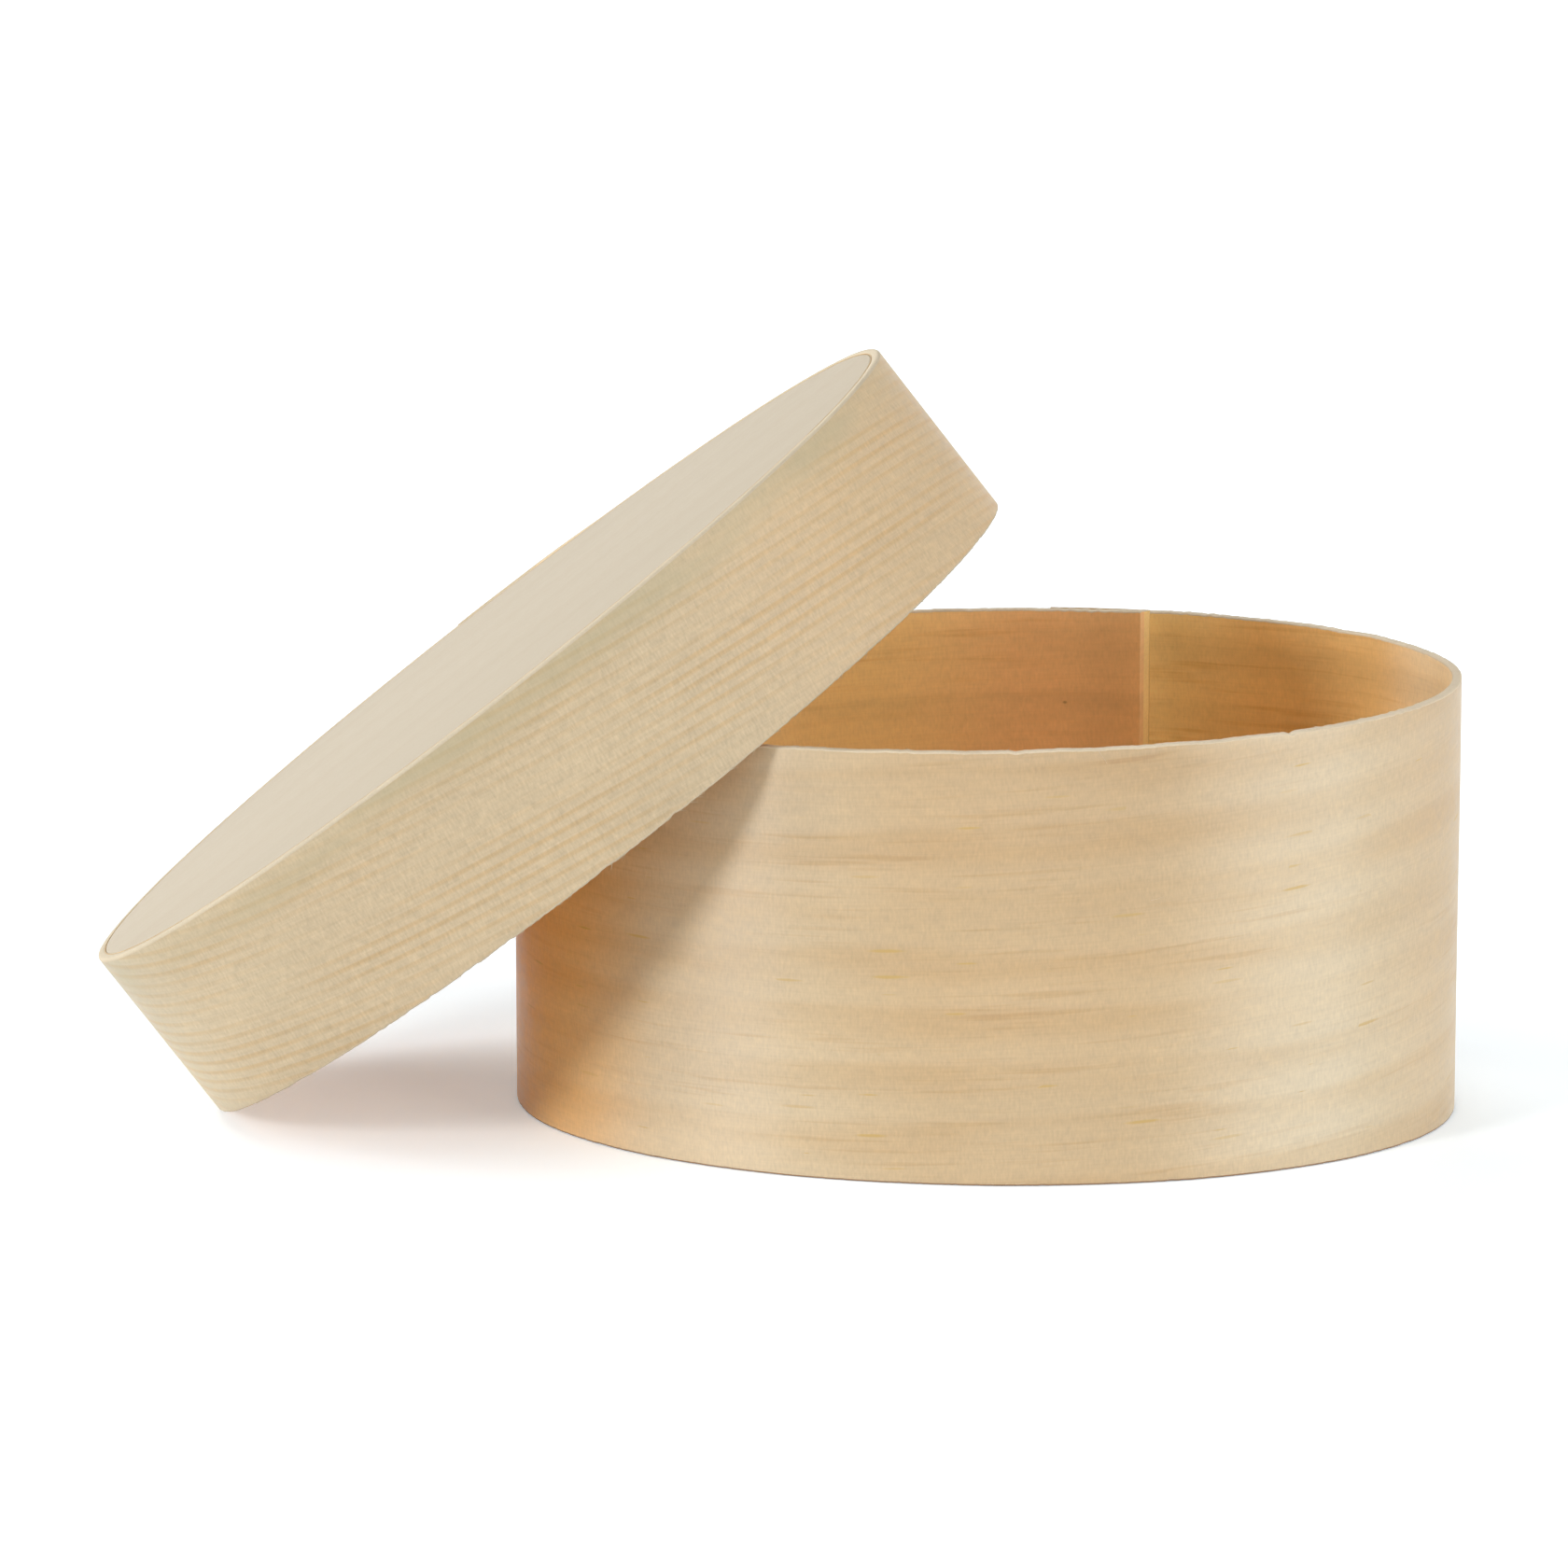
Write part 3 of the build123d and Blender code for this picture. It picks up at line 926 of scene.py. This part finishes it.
class CHIPBOX_OT_lid_strip(bpy.types.Operator):
    """Bend the lid's strip round its top panel"""

    bl_idname = "chipbox.lid_strip"
    bl_label = "Lid Strip"

    def execute(self, context):
        sizes, _, colours, _ = settings()
        path = BentPath(lid_oval(), sizes.lid_seam, LID_CREASES)
        strip = flat_strip(
            "lid_strip", path.length, sizes.lid_height, sizes.veneer, sizes.edge_round, sizes.sanded
        )
        bevel_ends(strip, path.length, sizes.veneer)
        outer = -sizes.veneer / 2
        splinter = ((231.4 * MM, outer, 0.0), 1.0 * MM, math.radians(-35), 0, 0)
        fray(strip, [*edge_fibres(185 * MM, 300 * MM, 34, 0.1 * MM, outer, -1, seed=8), splinter])
        map_flat(strip)
        trim_edges(
            strip, sizes.lid_height, path, slope=0, lower=0.22 * MM, upper=0.02 * MM, seed=11, nicks=LID_NICKS
        )
        bend(strip, path)
        strip.data.transform(lid_place() @ Matrix.Translation((0, 0, -sizes.lid_height)))
        early, late = (
            [(at, tinted(tone, tint)) for at, tint in LID_TINTS]
            for tone in (colours.lid_early, colours.lid_late)
        )
        outside = wood(
            "lid_pine", early, late, lines=520, first=0.35, turn=math.radians(9), seed=0.77, contrast=0.62,
            soft=0.35, mottled=1.9, wander=3 * MM, along=path.length,
            greyed=(colours.lid_grey, *LID_GREY_HEIGHTS), gloss=(0.5, 1.45, 0.4),
        )
        inner = colours.lid_inside
        inside = wood(
            "lid_inside_pine", inner, dimmed(inner, LATE_SHARE), lines=300, turn=math.radians(6), seed=0.21,
            contrast=0.5,
        )
        edge = cut_edge("lid_cut_edge", colours.lid_cut_edge)
        dress(strip, outside, edge, inside, cut_edge("lid_slope", colours.slope), edge)
        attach(strip, "lid")
        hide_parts("lid_band")
        return {"FINISHED"}


class CHIPBOX_OT_panels(bpy.types.Operator):
    """Set the bottom panel in the box and the top panel in the lid"""

    bl_idname = "chipbox.panels"
    bl_label = "Panels"

    def execute(self, context):
        sizes, _, colours, _ = settings()
        smooth = wood(
            "panel_pine", colours.panel_early, colours.panel_late, lines=60, turn=0,
            seed=1.9, contrast=0.25, soft=0.7, mottled=0.3, gloss=(0.3, 1.4, 0.2), rough=0.65,
        )
        tone = colours.lid_inside
        inner = wood(
            "panel_inside_pine", tone, dimmed(tone, LATE_SHARE), lines=60,
            turn=0, seed=2.6, contrast=0.4, soft=0.7, mottled=0.5,
        )
        bottom = panel("bottom_panel", box_oval(), sizes.panel, sizes.glue_film)
        top = panel("top_panel", lid_oval(), sizes.panel, sizes.glue_film)
        for piece, inwards in ((bottom, 1), (top, -1)):
            dress(piece, smooth, inner)
            for face in piece.data.polygons:
                inner_side = face.normal.z * inwards > FACING
                face.material_index = INNER_PANEL_SLOT if inner_side else OUTER_PANEL_SLOT
        bottom.data.transform(Matrix.Translation((0, 0, sizes.panel)))
        top.data.transform(lid_place())
        for piece, body, node in ((bottom, "box", "box_base"), (top, "lid", "lid_top")):
            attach(piece, body)
            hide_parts(node)
        return {"FINISHED"}


class CHIPBOX_OT_glue_lines(bpy.types.Operator):
    """Finish the glue lines"""

    bl_idname = "chipbox.glue_lines"
    bl_label = "Glue Lines"

    def execute(self, context):
        material = glue_film("dried_glue", settings()[2].glue)
        for name in ("box_lap_glue", "box_base_glue", "lid_lap_glue", "lid_top_glue"):
            dress(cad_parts[name], material)
        return {"FINISHED"}


class CHIPBOX_OT_stage(bpy.types.Operator):
    """Set up the floor, the lamps and the camera"""

    bl_idname = "chipbox.stage"
    bl_label = "Stage"

    def execute(self, context):
        _, _, _, stage = settings()
        make_floor(stage)
        make_world(stage)
        for name, place in LAMPS.items():
            make_sun(f"{name}_light", getattr(stage, name), *place)
        make_camera(stage)
        context.scene.view_settings.view_transform = "Standard"
        return {"FINISHED"}


FLOOR_DROP = 0.05 * MM  # keeps the floor from lying in the same plane as the box's underside
FLOOR_WHITE = (0.94, 0.90, 0.86)  # as it lights the box
FLOOR_SEEN = (1.0, 1.0, 1.0)  # as the camera sees it, with the glow
FLOOR_GLOW = (0.23, 0.29, 0.33)
CAMERA_AIM = (-32.0, -2.1, 51.65)  # millimetres
LAMPS = {  # degrees to the right of the front, degrees above the floor, and degrees of width
    "left": (-48, 20, 12),
    "low_left": (-90, 12, 40),
    "right": (62, 12, 45),
    "far_right": (108, 14, 40),
    "front": (5, 36, 40),
    "top": (0, 72, 40),
    "back": (-150, 50, 40),
}


def make_floor(stage):
    """A white floor. The camera sees it a little brighter than its light makes it, so it stays white."""
    bpy.ops.object.select_all(action="DESELECT")
    bpy.ops.mesh.primitive_plane_add(size=stage.floor_size, location=(0, 0, -FLOOR_DROP))
    floor = bpy.context.object
    floor.name = "floor"
    make = Shading("white_floor")
    seen = make.looked_at()
    paper = make.node("BsdfDiffuse", {"Color": make.mix(seen, FLOOR_WHITE, FLOOR_SEEN)})
    glow = make.node("Emission", {"Color": make.mix(seen, (0, 0, 0), FLOOR_GLOW)})
    both = make.node("AddShader", {0: paper.outputs["BSDF"], 1: glow.outputs["Emission"]})
    make.end(both.outputs["Shader"])
    floor.data.materials.append(make.material)


def make_world(stage):
    """An even white surround, seen as plain white."""
    world = bpy.data.worlds.new("studio")
    bpy.context.scene.world = world
    world.use_nodes = True
    make = Shading(world=world)
    strength = make.ranged(make.looked_at(), 0, 1, stage.sky, 1.0, kind="LINEAR")
    make.end(make.node("Background", {"Color": (1, 1, 1, 1), "Strength": strength}).outputs["Background"])


def make_sun(name, strength, side, height, width):
    """A wide soft lamp, seen from the box at degrees to the right of the front and above the floor."""
    side, height = math.radians(side), math.radians(height)
    level = math.cos(height)
    towards = Vector((math.sin(side) * level, -math.cos(side) * level, math.sin(height)))
    data = bpy.data.lights.new(name, "SUN")
    data.energy = strength
    data.angle = math.radians(width)
    lamp = bpy.data.objects.new(name, data)
    lamp.rotation_mode = "QUATERNION"
    lamp.rotation_quaternion = towards.to_track_quat("Z", "Y")
    bpy.context.collection.objects.link(lamp)


def make_camera(stage):
    """The camera, at the angle from which the box was seen."""
    aim = Vector(CAMERA_AIM) * MM
    side, down = stage.camera_side, stage.camera_height
    forward = Vector((-math.sin(side) * math.cos(down), math.cos(side) * math.cos(down), -math.sin(down)))
    data = bpy.data.cameras.new("camera")
    data.lens = stage.lens
    data.sensor_width = 36
    data.clip_start = 0.01
    camera = bpy.data.objects.new("camera", data)
    camera.location = aim - stage.camera_distance * forward
    camera.rotation_mode = "QUATERNION"
    camera.rotation_quaternion = forward.to_track_quat("-Z", "Y")
    bpy.context.collection.objects.link(camera)
    bpy.context.scene.camera = camera


class CHIPBOX_PT_panel(bpy.types.Panel):
    """Lists the sizes, the colours and the steps that make the chip box"""

    bl_idname = "CHIPBOX_PT_panel"
    bl_label = "Chip Box"
    bl_space_type = "VIEW_3D"
    bl_region_type = "UI"
    bl_category = "Chip Box"

    def draw(self, context):
        for group in settings():
            column = self.layout.column(align=True)
            for name in group.bl_rna.properties.keys():
                if name not in ("rna_type", "name"):
                    column.prop(group, name)
        for operator in OPERATORS:
            self.layout.operator(operator.bl_idname)


GROUPS = {
    "chip_box_sizes": ChipBoxSizes,
    "chip_box_lean": ChipBoxLean,
    "chip_box_wood": ChipBoxWood,
    "chip_box_stage": ChipBoxStage,
}
OPERATORS = (
    CHIPBOX_OT_box_strip,
    CHIPBOX_OT_lid_strip,
    CHIPBOX_OT_panels,
    CHIPBOX_OT_glue_lines,
    CHIPBOX_OT_stage,
)


def register():
    for cls in (*GROUPS.values(), *OPERATORS, CHIPBOX_PT_panel):
        bpy.utils.register_class(cls)
    for name, group in GROUPS.items():
        setattr(bpy.types.Scene, name, PointerProperty(type=group))


def unregister():
    for name in GROUPS:
        delattr(bpy.types.Scene, name)
    for cls in reversed((*GROUPS.values(), *OPERATORS, CHIPBOX_PT_panel)):
        bpy.utils.unregister_class(cls)


def main():
    register()
    bpy.ops.chipbox.box_strip()
    bpy.ops.chipbox.lid_strip()
    bpy.ops.chipbox.panels()
    bpy.ops.chipbox.glue_lines()
    bpy.ops.chipbox.stage()


if __name__ == "__main__":
    main()
